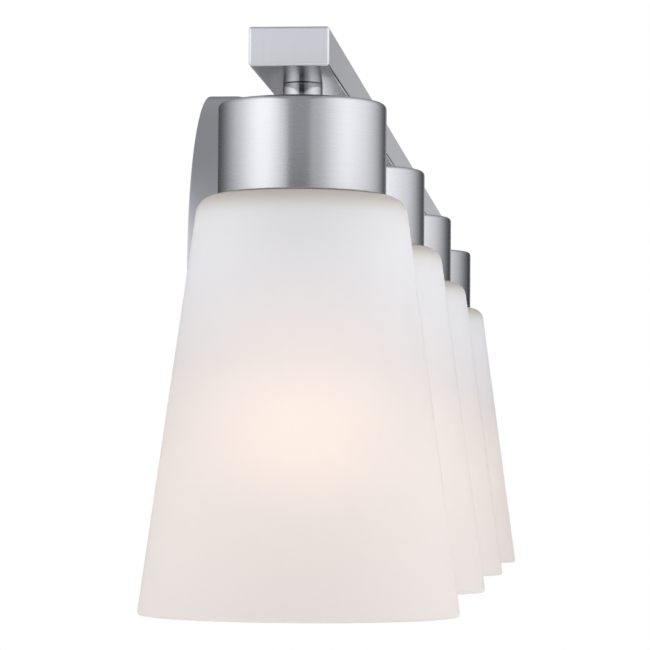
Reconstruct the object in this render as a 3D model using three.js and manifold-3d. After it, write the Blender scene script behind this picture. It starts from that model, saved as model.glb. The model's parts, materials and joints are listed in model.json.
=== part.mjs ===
// A vanity light bar: a round wall canopy, an arm, a slim rectangular bar and a row of lamps under it.
// Each lamp is a neck, a metal cup, a socket, a tapered satin-glass shade open at the bottom, and a bulb.
// Millimetres, +Z up. The origin is the centre of the canopy's back, on the wall. +X runs along the bar,
// +Y goes into the wall, so the front of the light faces -Y.

import * as THREE from 'three';
import { mergeVertices } from 'three/addons/utils/BufferGeometryUtils.js';
import Module from 'manifold-3d';

// ---------------------------------------------------------------- driving dimensions

// The row of lamps and where it stands from the wall.
const LAMP_COUNT = 4;
const LAMP_SPACING = 245;
const LAMP_REACH = 82.5;        // wall to lamp axis

// The bar is a slim rectangular tube.
const BAR_DEPTH = 29.2;
const BAR_HEIGHT = 14.2;
const BAR_WALL = 1.2;
const BAR_OVERHANG = 50;        // end lamp axis to the tube's cut end
const BAR_RISE = 52.7;          // canopy centre to the bar's centre line
const END_CAP_PLATE = 1.4;
const END_CAP_PLUG = 6;
const END_CAP_WALL = 1.2;

// The neck and the cup that hang under the bar.
const NECK_DIAMETER = 15;
const NECK_LENGTH = 7.6;
const CUP_DIAMETER = 63.5;
const CUP_HEIGHT = 34.8;
const CUP_WALL = 1.2;
const CUP_CORNER = 2.1;

// Threaded nipple and its locknuts, standard lamp pipe.
const NIPPLE_DIAMETER = 9.8;
const NIPPLE_BORE = 7.2;
const NIPPLE_STUB = 1.6;        // what stands above the locknut in the bar
const NUT_ACROSS_FLATS = 15.9;
const NUT_THICKNESS = 3;

// The socket and what it holds.
const SOCKET_DIAMETER = 44;
const SOCKET_NOSE_DIAMETER = 38.5;
const SOCKET_LENGTH = 58;
const SOCKET_NOSE_LENGTH = 28;
const SOCKET_THREAD_DEPTH = 30;
const SOCKET_CAP = 5;
const SHELL_INNER_DIAMETER = 27.2;
const SHELL_WALL = 0.6;
const SHELL_LENGTH = 22;
const CONTACT_DIAMETER = 9;
const CONTACT_THICKNESS = 1.2;
const CONTACT_RISE = 2.4;
const CONTACT_SIDE_GAP = 1;     // between the contact's tongue and the screw shell
const RING_DIAMETER = 52;
const RING_THICKNESS = 6;

// The shade: a tapered glass bell with a rounded shoulder and a flat, pierced top.
const SHADE_BOTTOM_DIAMETER = 121;
const SHADE_OVERHANG = 7.25;    // the tapered side stands this far outside the cup, at the shade's top
const SHADE_HEIGHT = 157;
const SHADE_WALL = 3.2;
const SHADE_SHOULDER = 6.6;
const SHADE_LIP = 1.2;
const SHADE_LIP_CHAMFER = 0.4;  // inside the lip

// The bulb, a standard pear shape on a medium screw base.
const BULB_DIAMETER = 60;
const BULB_LENGTH = 112;
const BULB_WALL = 0.9;
const BULB_NECK_DIAMETER = 27.5;
const BULB_NECK_STRAIGHT = 13;  // below the base, before the flank widens
const BULB_FLANK_RISE = 22.5;   // above the globe's middle, where the flank begins to narrow
const BASE_DIAMETER = 26;
const BASE_WALL = 0.5;
const BASE_LENGTH = 25;
const BASE_TIP_DIAMETER = 9;
const BASE_TIP_LENGTH = 3;
const BASE_TIP_CORNER = 1;
const BASE_SHOULDER = 3;        // the base's bevelled shoulder round its tip

// The wall canopy and its mounting.
const CANOPY_DIAMETER = 176;
const CANOPY_DEPTH = 23;
const CANOPY_WALL = 1.2;
const CANOPY_CORNER = 9;
const CANOPY_LIP = 4;           // the back edge turned inwards on the wall
const CROSSBAR_LENGTH = 104;
const CROSSBAR_WIDTH = 24;
const CROSSBAR_THICKNESS = 2;
const FIXING_SPACING = 70;      // between the two canopy screws
const FIXING_DIAMETER = 4;
const CAP_NUT_DIAMETER = 12;
const CAP_NUT_HEIGHT = 9;
const CAP_NUT_FOOT_DIAMETER = 8.4;
const CAP_NUT_BEVEL = 1.6;      // the nut widens over this from its foot
const FIXING_ENGAGEMENT = 5;    // how far a canopy screw reaches into its cap nut
const FIXING_SPARE = 0.6;       // bore left past the screw's end
const BOX_SLOT_RADIUS = 44.5;
const BOX_SLOT_LENGTH = 11;
const BOX_SLOT_WIDTH = 4.6;
const GROUND_SCREW_DIAMETER = 8;
const GROUND_SCREW_SHANK = 3.6;
const GROUND_SCREW_HEAD = 2.4;
const GROUND_SCREW_OFFSET = 17;

// The arm from the canopy to the bar, a rectangular tube with a foot plate inside the canopy.
const ARM_WIDTH = 25.4;
const ARM_HEIGHT = 12;
const ARM_WALL = 1.2;
const FOOT_WIDTH = 58;
const FOOT_HEIGHT = 22;
const FOOT_THICKNESS = 2;
const FOOT_SCREW_SPACING = 42;
const FOOT_SCREW_DIAMETER = 4;
const FOOT_SCREW_HEAD = 7;
const FOOT_SCREW_HEAD_THICKNESS = 2.2;

// The wires in the bar.
const WIRE_DIAMETER = 2;
const WIRE_SPREAD = 3.2;        // between the line wire and the neutral wire
const WIRE_TAIL = 10;           // what comes out of the arm into the canopy

// Clearances.
const SEAT = 0.3;               // between pieces that rest on each other
const FIT = 0.35;               // around a screw, a nipple or a plug in its hole
const THREAD_CLEARANCE = 0.4;   // between a thread and its nut, ring or socket
const WIRE_CLEARANCE = 0.4;
const WIRE_END_GAP = 1;         // a wire's end above the nipple's lower edge
const OVERRUN = 1;              // a cutting solid runs this far past the face that it opens

// Smoothness of round pieces, in sides to a full turn.
const CANOPY_SIDES = 48;
const LARGE_SIDES = 28;
const MEDIUM_SIDES = 16;
const SMALL_SIDES = 8;

// ---------------------------------------------------------------- worked-out places

const lampX = Array.from({ length: LAMP_COUNT }, (_, i) => (i - (LAMP_COUNT - 1) / 2) * LAMP_SPACING);
const lampY = -LAMP_REACH;
const barLength = (LAMP_COUNT - 1) * LAMP_SPACING + 2 * BAR_OVERHANG;
const barBottom = BAR_RISE - BAR_HEIGHT / 2;
const barTop = BAR_RISE + BAR_HEIGHT / 2;
const barFloor = barBottom + BAR_WALL;
const neckTop = barBottom - SEAT;
const cupTop = barBottom - NECK_LENGTH;
const cupBottom = cupTop - CUP_HEIGHT;
const cupRoof = cupTop - CUP_WALL;
const nippleTop = barFloor + SEAT + NUT_THICKNESS + NIPPLE_STUB;
const socketTop = cupRoof - SEAT;
const socketBottom = socketTop - SOCKET_LENGTH;
const nippleBottom = socketTop - SOCKET_CAP;
const shadeTop = cupBottom - SEAT;
const shadeBottom = shadeTop - SHADE_HEIGHT;
const shadeTopDiameter = CUP_DIAMETER + 2 * SHADE_OVERHANG;
const ringTop = shadeTop - SHADE_WALL - SEAT;
const ringBottom = ringTop - RING_THICKNESS;
const shellTop = socketBottom + SOCKET_THREAD_DEPTH;
const bulbTip = shellTop - CONTACT_RISE - SEAT;
const baseRim = bulbTip - BASE_TIP_LENGTH - BASE_LENGTH;
const bulbBottom = bulbTip - BULB_LENGTH;
const canopyFront = -CANOPY_DEPTH;
const canopyInside = canopyFront + CANOPY_WALL;

// ---------------------------------------------------------------- solids

const manifoldLibrary = await Module();
manifoldLibrary.setup();

function toSolid(geometry) {
  const bare = geometry.clone();
  bare.deleteAttribute('normal');
  bare.deleteAttribute('uv');
  const merged = mergeVertices(bare, 1e-4);
  const mesh = new manifoldLibrary.Mesh({
    numProp: 3,
    vertProperties: new Float32Array(merged.attributes.position.array),
    triVerts: new Uint32Array(merged.index.array),
  });
  return new manifoldLibrary.Manifold(mesh);
}

function toGeometry(solid) {
  const mesh = solid.getMesh();
  const geometry = new THREE.BufferGeometry();
  geometry.setAttribute('position', new THREE.BufferAttribute(new Float32Array(mesh.vertProperties), 3));
  geometry.setIndex(new THREE.BufferAttribute(new Uint32Array(mesh.triVerts), 1));
  geometry.computeVertexNormals();
  return geometry;
}

// The first geometry with the others cut away from it.
function cut(body, ...tools) {
  const solid = tools.reduce((rest, tool) => rest.subtract(toSolid(tool)), toSolid(body));
  return toGeometry(solid);
}

function join(body, ...others) {
  const solid = others.reduce((sum, other) => sum.add(toSolid(other)), toSolid(body));
  return toGeometry(solid);
}

// A block between two corners.
function block(low, high) {
  const size = high.map((value, i) => value - low[i]);
  const geometry = new THREE.BoxGeometry(...size);
  return geometry.translate(...low.map((value, i) => value + size[i] / 2));
}

// A closed profile of [radius, z] points turned about Z. Either direction round the profile will do.
function turned(profile, sides) {
  const points = profile.map(([radius, z]) => new THREE.Vector2(radius, z));
  if (THREE.ShapeUtils.isClockWise(points)) {
    points.reverse();
  }
  return new THREE.LatheGeometry(points, sides).rotateX(Math.PI / 2);
}

// A rod about Z between two heights.
function rod(diameter, low, high, sides) {
  const geometry = new THREE.CylinderGeometry(diameter / 2, diameter / 2, high - low, sides);
  return geometry.rotateX(Math.PI / 2).translate(0, 0, (low + high) / 2);
}

// The same rod laid along Y, from the low y to the high y.
function rodAlongY(diameter, low, high, sides) {
  const geometry = new THREE.CylinderGeometry(diameter / 2, diameter / 2, high - low, sides);
  return geometry.translate(0, (low + high) / 2, 0);
}

function rodAlongX(diameter, low, high, sides) {
  const geometry = new THREE.CylinderGeometry(diameter / 2, diameter / 2, high - low, sides);
  return geometry.rotateZ(Math.PI / 2).translate((low + high) / 2, 0, 0);
}

// Points on a quarter or smaller arc in a profile, from one angle to another in degrees.
function arc(centreRadius, centreZ, radius, fromAngle, toAngle, steps) {
  return Array.from({ length: steps + 1 }, (_, i) => {
    const angle = THREE.MathUtils.degToRad(fromAngle + (toAngle - fromAngle) * i / steps);
    return [centreRadius + radius * Math.cos(angle), centreZ + radius * Math.sin(angle)];
  });
}

// ---------------------------------------------------------------- finishes

function finish(color, roughness, metalness) {
  return new THREE.MeshStandardMaterial({ color, roughness, metalness });
}

const brushedNickel = finish(0xb4b6ba, 0.32, 1);
const zincSteel = finish(0xc2c4c4, 0.4, 1);
const brass = finish(0xc9a557, 0.3, 1);
const blackResin = finish(0x25262a, 0.5, 0);
const satinGlass = finish(0xf1efec, 0.55, 0);
const frostedBulb = finish(0xfff3e0, 0.5, 0);
const baseAluminium = finish(0xc8c8c6, 0.3, 1);
const greenSteel = finish(0x2f7d46, 0.4, 0.6);
const blackWire = finish(0x1d1d1f, 0.6, 0);
const whiteWire = finish(0xe9e7e0, 0.6, 0);

const light = new THREE.Group();

function add(parent, name, geometry, material) {
  const mesh = new THREE.Mesh(geometry, material);
  mesh.name = name;
  parent.add(mesh);
}

// ---------------------------------------------------------------- the lamps

// Each lamp is modelled about its own vertical axis, and its group carries it to its place on the bar.

function neckGeometry() {
  const bore = rod(NIPPLE_DIAMETER + 2 * FIT, cupTop - OVERRUN, neckTop + OVERRUN, MEDIUM_SIDES);
  return cut(rod(NECK_DIAMETER, cupTop + SEAT, neckTop, MEDIUM_SIDES), bore);
}

function cupGeometry() {
  const outer = CUP_DIAMETER / 2;
  const inner = outer - CUP_WALL;
  const hole = NIPPLE_DIAMETER / 2 + FIT;
  const innerCorner = Math.max(CUP_CORNER - CUP_WALL, CUP_WALL / 4);
  return turned([
    [hole, cupTop],
    [hole, cupRoof],
    ...arc(inner - innerCorner, cupRoof - innerCorner, innerCorner, 90, 0, 1),
    [inner, cupBottom],
    [outer, cupBottom],
    ...arc(outer - CUP_CORNER, cupTop - CUP_CORNER, CUP_CORNER, 0, 90, 2),
    [hole, cupTop],
  ], LARGE_SIDES);
}

function nippleGeometry() {
  const outer = NIPPLE_DIAMETER / 2;
  const inner = NIPPLE_BORE / 2;
  return turned([
    [inner, nippleTop],
    [inner, nippleBottom],
    [outer, nippleBottom],
    [outer, nippleTop],
    [inner, nippleTop],
  ], SMALL_SIDES);
}

function locknutGeometry() {
  const acrossCorners = NUT_ACROSS_FLATS / Math.cos(Math.PI / 6);
  const hexagon = rod(acrossCorners, barFloor + SEAT, barFloor + SEAT + NUT_THICKNESS, 6);
  const thread = rod(NIPPLE_DIAMETER + 2 * THREAD_CLEARANCE, barFloor, nippleTop + OVERRUN, SMALL_SIDES);
  return cut(hexagon, thread);
}

function socketBodyGeometry() {
  const body = SOCKET_DIAMETER / 2;
  const nose = SOCKET_NOSE_DIAMETER / 2;
  const well = SHELL_INNER_DIAMETER / 2 + SHELL_WALL + FIT;
  const pipe = NIPPLE_DIAMETER / 2 + THREAD_CLEARANCE;
  const noseTop = socketBottom + SOCKET_NOSE_LENGTH;
  const wellTop = shellTop + CONTACT_THICKNESS + 2 * SEAT;
  return turned([
    [pipe, socketTop],
    [pipe, wellTop],
    [well, wellTop],
    [well, socketBottom],
    [nose, socketBottom],
    [nose, noseTop],
    [body, noseTop],
    [body, socketTop - CUP_CORNER],
    [body - CUP_CORNER, socketTop],
    [pipe, socketTop],
  ], MEDIUM_SIDES);
}

function socketShellGeometry() {
  const inner = SHELL_INNER_DIAMETER / 2;
  const outer = inner + SHELL_WALL;
  const rim = shellTop - SHELL_LENGTH;
  return turned([
    [inner, shellTop],
    [inner, rim],
    [outer, rim],
    [outer, shellTop],
    [inner, shellTop],
  ], MEDIUM_SIDES);
}

// A bent tongue: a strip across the well's roof with a button that the bulb's tip presses on.
function socketContactGeometry() {
  const roof = shellTop + CONTACT_THICKNESS + SEAT;
  const half = CONTACT_DIAMETER / 2;
  const reach = SHELL_INNER_DIAMETER / 2 - CONTACT_SIDE_GAP;
  const strip = block([-half, -half, shellTop + SEAT], [reach, half, roof]);
  const button = rod(CONTACT_DIAMETER, shellTop - CONTACT_RISE, roof, SMALL_SIDES);
  return join(strip, button);
}

// The profile runs from the hole's edge over the inner shoulder and down the tapered wall to the lip, and back
// up the outside.
function shadeGeometry() {
  const hole = SOCKET_NOSE_DIAMETER / 2 + FIT + THREAD_CLEARANCE;
  const slope = (SHADE_BOTTOM_DIAMETER - shadeTopDiameter) / 2 / SHADE_HEIGHT;
  const lean = THREE.MathUtils.radToDeg(Math.atan(slope));
  const sideAt = (z) => shadeTopDiameter / 2 + slope * (shadeTop - z);
  const sideways = 1 / Math.cos(Math.atan(slope));
  const shoulderZ = shadeTop - SHADE_SHOULDER;
  const shoulderR = sideAt(shoulderZ) - SHADE_SHOULDER * sideways;
  const innerShoulder = Math.max(SHADE_SHOULDER - SHADE_WALL, SHADE_LIP_CHAMFER);
  const lipZ = shadeBottom + SHADE_LIP;
  const lipR = sideAt(lipZ) - SHADE_LIP * sideways;
  const innerR = sideAt(shadeBottom) - SHADE_WALL * sideways;
  return turned([
    [hole, shadeTop],
    [hole, shadeTop - SHADE_WALL],
    ...arc(shoulderR, shoulderZ, innerShoulder, 90, lean, 2),
    [innerR, shadeBottom + SHADE_LIP_CHAMFER],
    [innerR + SHADE_LIP_CHAMFER, shadeBottom],
    ...arc(lipR, lipZ, SHADE_LIP, -90, lean, 2),
    ...arc(shoulderR, shoulderZ, SHADE_SHOULDER, lean, 90, 4),
    [hole, shadeTop],
  ], LARGE_SIDES);
}

function shadeRingGeometry() {
  const inner = SOCKET_NOSE_DIAMETER / 2 + THREAD_CLEARANCE;
  const outer = RING_DIAMETER / 2;
  const step = RING_THICKNESS / 3;
  return turned([
    [inner, ringTop],
    [inner, ringBottom],
    [outer - step, ringBottom],
    [outer - step, ringTop - step],
    [outer, ringTop - step],
    [outer, ringTop],
    [inner, ringTop],
  ], MEDIUM_SIDES);
}

function bulbBaseGeometry() {
  const outer = BASE_DIAMETER / 2;
  const inner = outer - BASE_WALL;
  const shoulder = bulbTip - BASE_TIP_LENGTH;
  const tip = BASE_TIP_DIAMETER / 2;
  return turned([
    [0, bulbTip],
    [0, shoulder - BASE_WALL],
    [inner - BASE_SHOULDER, shoulder - BASE_WALL],
    [inner, shoulder - BASE_SHOULDER],
    [inner, baseRim],
    [outer, baseRim],
    [outer, shoulder - BASE_SHOULDER],
    [outer - BASE_SHOULDER, shoulder],
    [tip, shoulder],
    [tip, bulbTip - BASE_TIP_CORNER],
    [tip - BASE_TIP_CORNER, bulbTip],
    [0, bulbTip],
  ], MEDIUM_SIDES);
}

// The envelope: a round end, a cone-like flank that narrows smoothly, and a straight neck into the base.
function bulbGlassGeometry() {
  const neck = BASE_DIAMETER / 2 - BASE_WALL - FIT;
  const neckTopZ = baseRim + BASE_LENGTH / 2;
  const throat = BULB_NECK_DIAMETER / 2;
  const globe = BULB_DIAMETER / 2;
  const globeZ = bulbBottom + globe;
  const throatZ = baseRim - SEAT - (throat - neck);
  const flank = new THREE.CubicBezierCurve(
    new THREE.Vector2(throat, throatZ),
    new THREE.Vector2(throat, throatZ - BULB_NECK_STRAIGHT),
    new THREE.Vector2(globe, globeZ + BULB_FLANK_RISE),
    new THREE.Vector2(globe, globeZ),
  );
  const wall = (inset) => [
    [neck - inset, neckTopZ],
    [neck - inset, baseRim - SEAT],
    ...flank.getPoints(5).map((point) => [point.x - inset, point.y]),
    ...arc(0, globeZ, globe - inset, 0, -90, 4).slice(1, -1),
    [0, bulbBottom + inset],
  ];
  return turned([...wall(BULB_WALL), ...wall(0).reverse(), [neck - BULB_WALL, neckTopZ]], MEDIUM_SIDES);
}

lampX.forEach((x, i) => {
  const lamp = new THREE.Group();
  const tag = i + 1;
  lamp.position.set(x, lampY, 0);
  add(lamp, `neck_${tag}`, neckGeometry(), brushedNickel);
  add(lamp, `cup_${tag}`, cupGeometry(), brushedNickel);
  add(lamp, `nipple_${tag}`, nippleGeometry(), zincSteel);
  add(lamp, `locknut_${tag}`, locknutGeometry(), zincSteel);
  add(lamp, `socket_body_${tag}`, socketBodyGeometry(), blackResin);
  add(lamp, `socket_shell_${tag}`, socketShellGeometry(), brass);
  add(lamp, `socket_contact_${tag}`, socketContactGeometry(), brass);
  add(lamp, `shade_ring_${tag}`, shadeRingGeometry(), blackResin);
  add(lamp, `shade_${tag}`, shadeGeometry(), satinGlass);
  add(lamp, `bulb_glass_${tag}`, bulbGlassGeometry(), frostedBulb);
  add(lamp, `bulb_base_${tag}`, bulbBaseGeometry(), baseAluminium);
  light.add(lamp);
});

// ---------------------------------------------------------------- the bar and its end caps

function barGeometry() {
  const half = barLength / 2;
  const back = lampY + BAR_DEPTH / 2;
  const front = lampY - BAR_DEPTH / 2;
  const outside = block([-half, front, barBottom], [half, back, barTop]);
  const inside = block(
    [-half - OVERRUN, front + BAR_WALL, barFloor],
    [half + OVERRUN, back - BAR_WALL, barTop - BAR_WALL],
  );
  const holes = lampX.map((x) => {
    const hole = rod(NIPPLE_DIAMETER + 2 * FIT, barBottom - OVERRUN, barFloor + OVERRUN, MEDIUM_SIDES);
    return hole.translate(x, lampY, 0);
  });
  const wireWindow = block(
    [-ARM_WIDTH / 2 + ARM_WALL, back - BAR_WALL - OVERRUN, BAR_RISE - ARM_HEIGHT / 2 + ARM_WALL],
    [ARM_WIDTH / 2 - ARM_WALL, back + OVERRUN, BAR_RISE + ARM_HEIGHT / 2 - ARM_WALL],
  );
  return cut(outside, inside, wireWindow, ...holes);
}

// A plate over the tube's end, with a hollow plug that reaches into it. Side is -1 or 1.
function endCapGeometry(side) {
  const end = barLength / 2 + SEAT;
  const depthHalf = BAR_DEPTH / 2;
  const heightHalf = BAR_HEIGHT / 2;
  const plugDepth = depthHalf - BAR_WALL - FIT;
  const plugHeight = heightHalf - BAR_WALL - FIT;
  const span = (from, to, halfY, halfZ) => {
    const [low, high] = [side * from, side * to].sort((a, b) => a - b);
    return block([low, lampY - halfY, BAR_RISE - halfZ], [high, lampY + halfY, BAR_RISE + halfZ]);
  };
  const plate = span(end, end + END_CAP_PLATE, depthHalf, heightHalf);
  const plug = span(end - END_CAP_PLUG, end + END_CAP_PLATE / 2, plugDepth, plugHeight);
  const hollow = span(end - END_CAP_PLUG - OVERRUN, end, plugDepth - END_CAP_WALL, plugHeight - END_CAP_WALL);
  return cut(join(plate, plug), hollow);
}

add(light, 'bar', barGeometry(), brushedNickel);
add(light, 'end_cap_left', endCapGeometry(-1), brushedNickel);
add(light, 'end_cap_right', endCapGeometry(1), brushedNickel);

// ---------------------------------------------------------------- the arm

const armFront = lampY + BAR_DEPTH / 2 + SEAT;
const footFront = canopyInside + SEAT;
const footBack = footFront + FOOT_THICKNESS;

function armGeometry() {
  const halfX = ARM_WIDTH / 2;
  const halfZ = ARM_HEIGHT / 2;
  const low = BAR_RISE - halfZ;
  const high = BAR_RISE + halfZ;
  const outside = block([-halfX, armFront, low], [halfX, footBack, high]);
  const inside = block(
    [-halfX + ARM_WALL, armFront - OVERRUN, low + ARM_WALL],
    [halfX - ARM_WALL, footBack + OVERRUN, high - ARM_WALL],
  );
  return cut(outside, inside);
}

const footScrewX = [-FOOT_SCREW_SPACING / 2, FOOT_SCREW_SPACING / 2];

function footPlateGeometry() {
  const halfX = FOOT_WIDTH / 2;
  const halfZ = FOOT_HEIGHT / 2;
  const plate = block([-halfX, footFront, BAR_RISE - halfZ], [halfX, footBack, BAR_RISE + halfZ]);
  const window = block(
    [-ARM_WIDTH / 2 - SEAT, footFront - OVERRUN, BAR_RISE - ARM_HEIGHT / 2 - SEAT],
    [ARM_WIDTH / 2 + SEAT, footBack + OVERRUN, BAR_RISE + ARM_HEIGHT / 2 + SEAT],
  );
  const drill = FOOT_SCREW_DIAMETER + 2 * THREAD_CLEARANCE;
  const holes = footScrewX.map((x) => {
    const hole = rodAlongY(drill, footFront - OVERRUN, footBack + OVERRUN, SMALL_SIDES);
    return hole.translate(x, 0, BAR_RISE);
  });
  return cut(plate, window, ...holes);
}

// A pan-head screw from the back, through the foot plate into the canopy's face.
function footScrewGeometry(x) {
  const headLow = footBack + SEAT;
  const headMiddle = headLow + FOOT_SCREW_HEAD_THICKNESS / 2;
  const shank = rodAlongY(FOOT_SCREW_DIAMETER, canopyFront, headMiddle, SMALL_SIDES);
  const head = rodAlongY(FOOT_SCREW_HEAD, headLow, headLow + FOOT_SCREW_HEAD_THICKNESS, SMALL_SIDES);
  return join(shank, head).translate(x, 0, BAR_RISE);
}

add(light, 'arm', armGeometry(), brushedNickel);
add(light, 'arm_foot_plate', footPlateGeometry(), zincSteel);
add(light, 'arm_screw_left', footScrewGeometry(footScrewX[0]), zincSteel);
add(light, 'arm_screw_right', footScrewGeometry(footScrewX[1]), zincSteel);

// ---------------------------------------------------------------- the canopy and its mounting

const fixingX = [-FIXING_SPACING / 2, FIXING_SPACING / 2];

// A dish open at the back, with a rounded front corner and its back edge turned inwards on the wall.
// The profile is drawn with z as the distance out from the wall, then laid over so that it faces -Y.
function canopyGeometry() {
  const outer = CANOPY_DIAMETER / 2;
  const inner = outer - CANOPY_WALL;
  const corner = CANOPY_CORNER;
  const innerCorner = Math.max(corner - CANOPY_WALL, CANOPY_WALL / 2);
  const centreZ = CANOPY_DEPTH - corner;
  const dish = turned([
    [0, CANOPY_DEPTH],
    [0, CANOPY_DEPTH - CANOPY_WALL],
    ...arc(outer - corner, centreZ, innerCorner, 90, 0, 3),
    [inner, CANOPY_WALL],
    [outer - CANOPY_LIP, CANOPY_WALL],
    [outer - CANOPY_LIP, 0],
    [outer, 0],
    ...arc(outer - corner, centreZ, corner, 0, 90, 4),
    [0, CANOPY_DEPTH],
  ], CANOPY_SIDES).rotateX(Math.PI / 2);
  const armWindow = block(
    [-ARM_WIDTH / 2 - FIT, canopyFront - OVERRUN, BAR_RISE - ARM_HEIGHT / 2 - FIT],
    [ARM_WIDTH / 2 + FIT, canopyInside + OVERRUN, BAR_RISE + ARM_HEIGHT / 2 + FIT],
  );
  const throughHole = (diameter, x, z) => {
    const hole = rodAlongY(diameter, canopyFront - OVERRUN, canopyInside + OVERRUN, SMALL_SIDES);
    return hole.translate(x, 0, z);
  };
  const fixingHoles = fixingX.map((x) => throughHole(FIXING_DIAMETER + 2 * FIT, x, 0));
  const screwDrill = FOOT_SCREW_DIAMETER + 2 * THREAD_CLEARANCE;
  const screwHoles = footScrewX.map((x) => throughHole(screwDrill, x, BAR_RISE));
  return cut(dish, armWindow, ...fixingHoles, ...screwHoles);
}

// A flat steel strap on the wall box. The canopy screws stand in it, and its slots take the box screws.
function crossbarGeometry() {
  const halfX = CROSSBAR_LENGTH / 2;
  const halfZ = CROSSBAR_WIDTH / 2;
  const strap = block([-halfX, -CROSSBAR_THICKNESS, -halfZ], [halfX, 0, halfZ]);
  const drilled = (diameter, x, z) => {
    const hole = rodAlongY(diameter, -CROSSBAR_THICKNESS - OVERRUN, OVERRUN, SMALL_SIDES);
    return hole.translate(x, 0, z);
  };
  const slots = [-1, 1].map((side) => {
    const x = side * BOX_SLOT_RADIUS;
    return block(
      [x - BOX_SLOT_WIDTH / 2, -CROSSBAR_THICKNESS - OVERRUN, -BOX_SLOT_LENGTH / 2],
      [x + BOX_SLOT_WIDTH / 2, OVERRUN, BOX_SLOT_LENGTH / 2],
    );
  });
  const fixings = fixingX.map((x) => drilled(FIXING_DIAMETER + 2 * THREAD_CLEARANCE, x, 0));
  const ground = drilled(GROUND_SCREW_SHANK + 2 * THREAD_CLEARANCE, GROUND_SCREW_OFFSET, 0);
  return cut(strap, ...slots, ...fixings, ground);
}

const capNutBack = canopyFront - SEAT;

// A headless screw that stands in the strap and passes through the canopy into its cap nut.
function fixingScrewGeometry(x) {
  return rodAlongY(FIXING_DIAMETER, capNutBack - FIXING_ENGAGEMENT, 0, SMALL_SIDES).translate(x, 0, 0);
}

// A ball-shaped cap nut with a flat, bored back.
function capNutGeometry(x) {
  const radius = CAP_NUT_DIAMETER / 2;
  const bore = FIXING_DIAMETER / 2 + THREAD_CLEARANCE;
  const boreEnd = FIXING_ENGAGEMENT + FIXING_SPARE;
  const crown = CAP_NUT_HEIGHT - CAP_NUT_BEVEL;
  const dome = arc(0, 0, 1, 0, 90, 5).slice(0, -1).map(([across, up]) => [
    radius * across,
    CAP_NUT_BEVEL + crown * up,
  ]);
  const nut = turned([
    [0, CAP_NUT_HEIGHT],
    [0, boreEnd],
    [bore, boreEnd],
    [bore, 0],
    [CAP_NUT_FOOT_DIAMETER / 2, 0],
    ...dome,
    [0, CAP_NUT_HEIGHT],
  ], MEDIUM_SIDES);
  return nut.rotateX(Math.PI / 2).translate(x, capNutBack, 0);
}

// Its head stands off the strap's front; a wire is clamped under it.
function groundScrewGeometry() {
  const headHigh = -CROSSBAR_THICKNESS - SEAT;
  const headMiddle = headHigh - GROUND_SCREW_HEAD / 2;
  const shank = rodAlongY(GROUND_SCREW_SHANK, headMiddle, 0, SMALL_SIDES);
  const head = rodAlongY(GROUND_SCREW_DIAMETER, headHigh - GROUND_SCREW_HEAD, headHigh, SMALL_SIDES);
  return join(shank, head).translate(GROUND_SCREW_OFFSET, 0, 0);
}

add(light, 'canopy', canopyGeometry(), brushedNickel);
add(light, 'crossbar', crossbarGeometry(), zincSteel);
add(light, 'ground_screw', groundScrewGeometry(), greenSteel);
fixingX.forEach((x, i) => {
  const side = ['left', 'right'][i];
  add(light, `mounting_screw_${side}`, fixingScrewGeometry(x), zincSteel);
  add(light, `cap_nut_${side}`, capNutGeometry(x), brushedNickel);
});

// ---------------------------------------------------------------- the wires

// One wire of each colour runs along the bar over the nipples, drops down each nipple into its socket,
// and comes back through the arm into the canopy. The front wire runs a layer higher, so that its way
// back passes over the other. Side is -1 for the front wire and 1 for the back one.
function harnessGeometry(side) {
  const layer = (1 - side) / 2 * (WIRE_DIAMETER + WIRE_CLEARANCE);
  const wireZ = nippleTop + WIRE_CLEARANCE + WIRE_DIAMETER / 2 + layer;
  const y = lampY + side * WIRE_SPREAD / 2;
  const reach = lampX[LAMP_COUNT - 1] + WIRE_DIAMETER / 2;
  const run = rodAlongX(WIRE_DIAMETER, -reach, reach, SMALL_SIDES).translate(0, y, wireZ);
  const dropLow = nippleBottom + WIRE_END_GAP;
  const drops = lampX.map((x) => rod(WIRE_DIAMETER, dropLow, wireZ, SMALL_SIDES).translate(x, y, 0));
  const tail = rodAlongY(WIRE_DIAMETER, y, footBack + WIRE_TAIL, SMALL_SIDES);
  tail.translate(side * WIRE_SPREAD, 0, wireZ);
  return join(run, tail, ...drops);
}

add(light, 'wire_line', harnessGeometry(-1), blackWire);
add(light, 'wire_neutral', harnessGeometry(1), whiteWire);

export default light;
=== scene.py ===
# %% [markdown]
# # A vanity light bar
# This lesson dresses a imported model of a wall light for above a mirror: a round canopy, an arm, a slim
# rectangular bar, and a row of metal cups with tapered satin-glass shades. The frame gives every piece's
# place and size, in metres, with the wall at y = 0, the front facing -Y and the bar along X.
# The pieces are remodelled finely over the frame's plain solids, and each one rides on the same body.

# %% Load the frame
import json
import math

import bmesh
import bpy
from mathutils import Matrix, Vector

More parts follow.
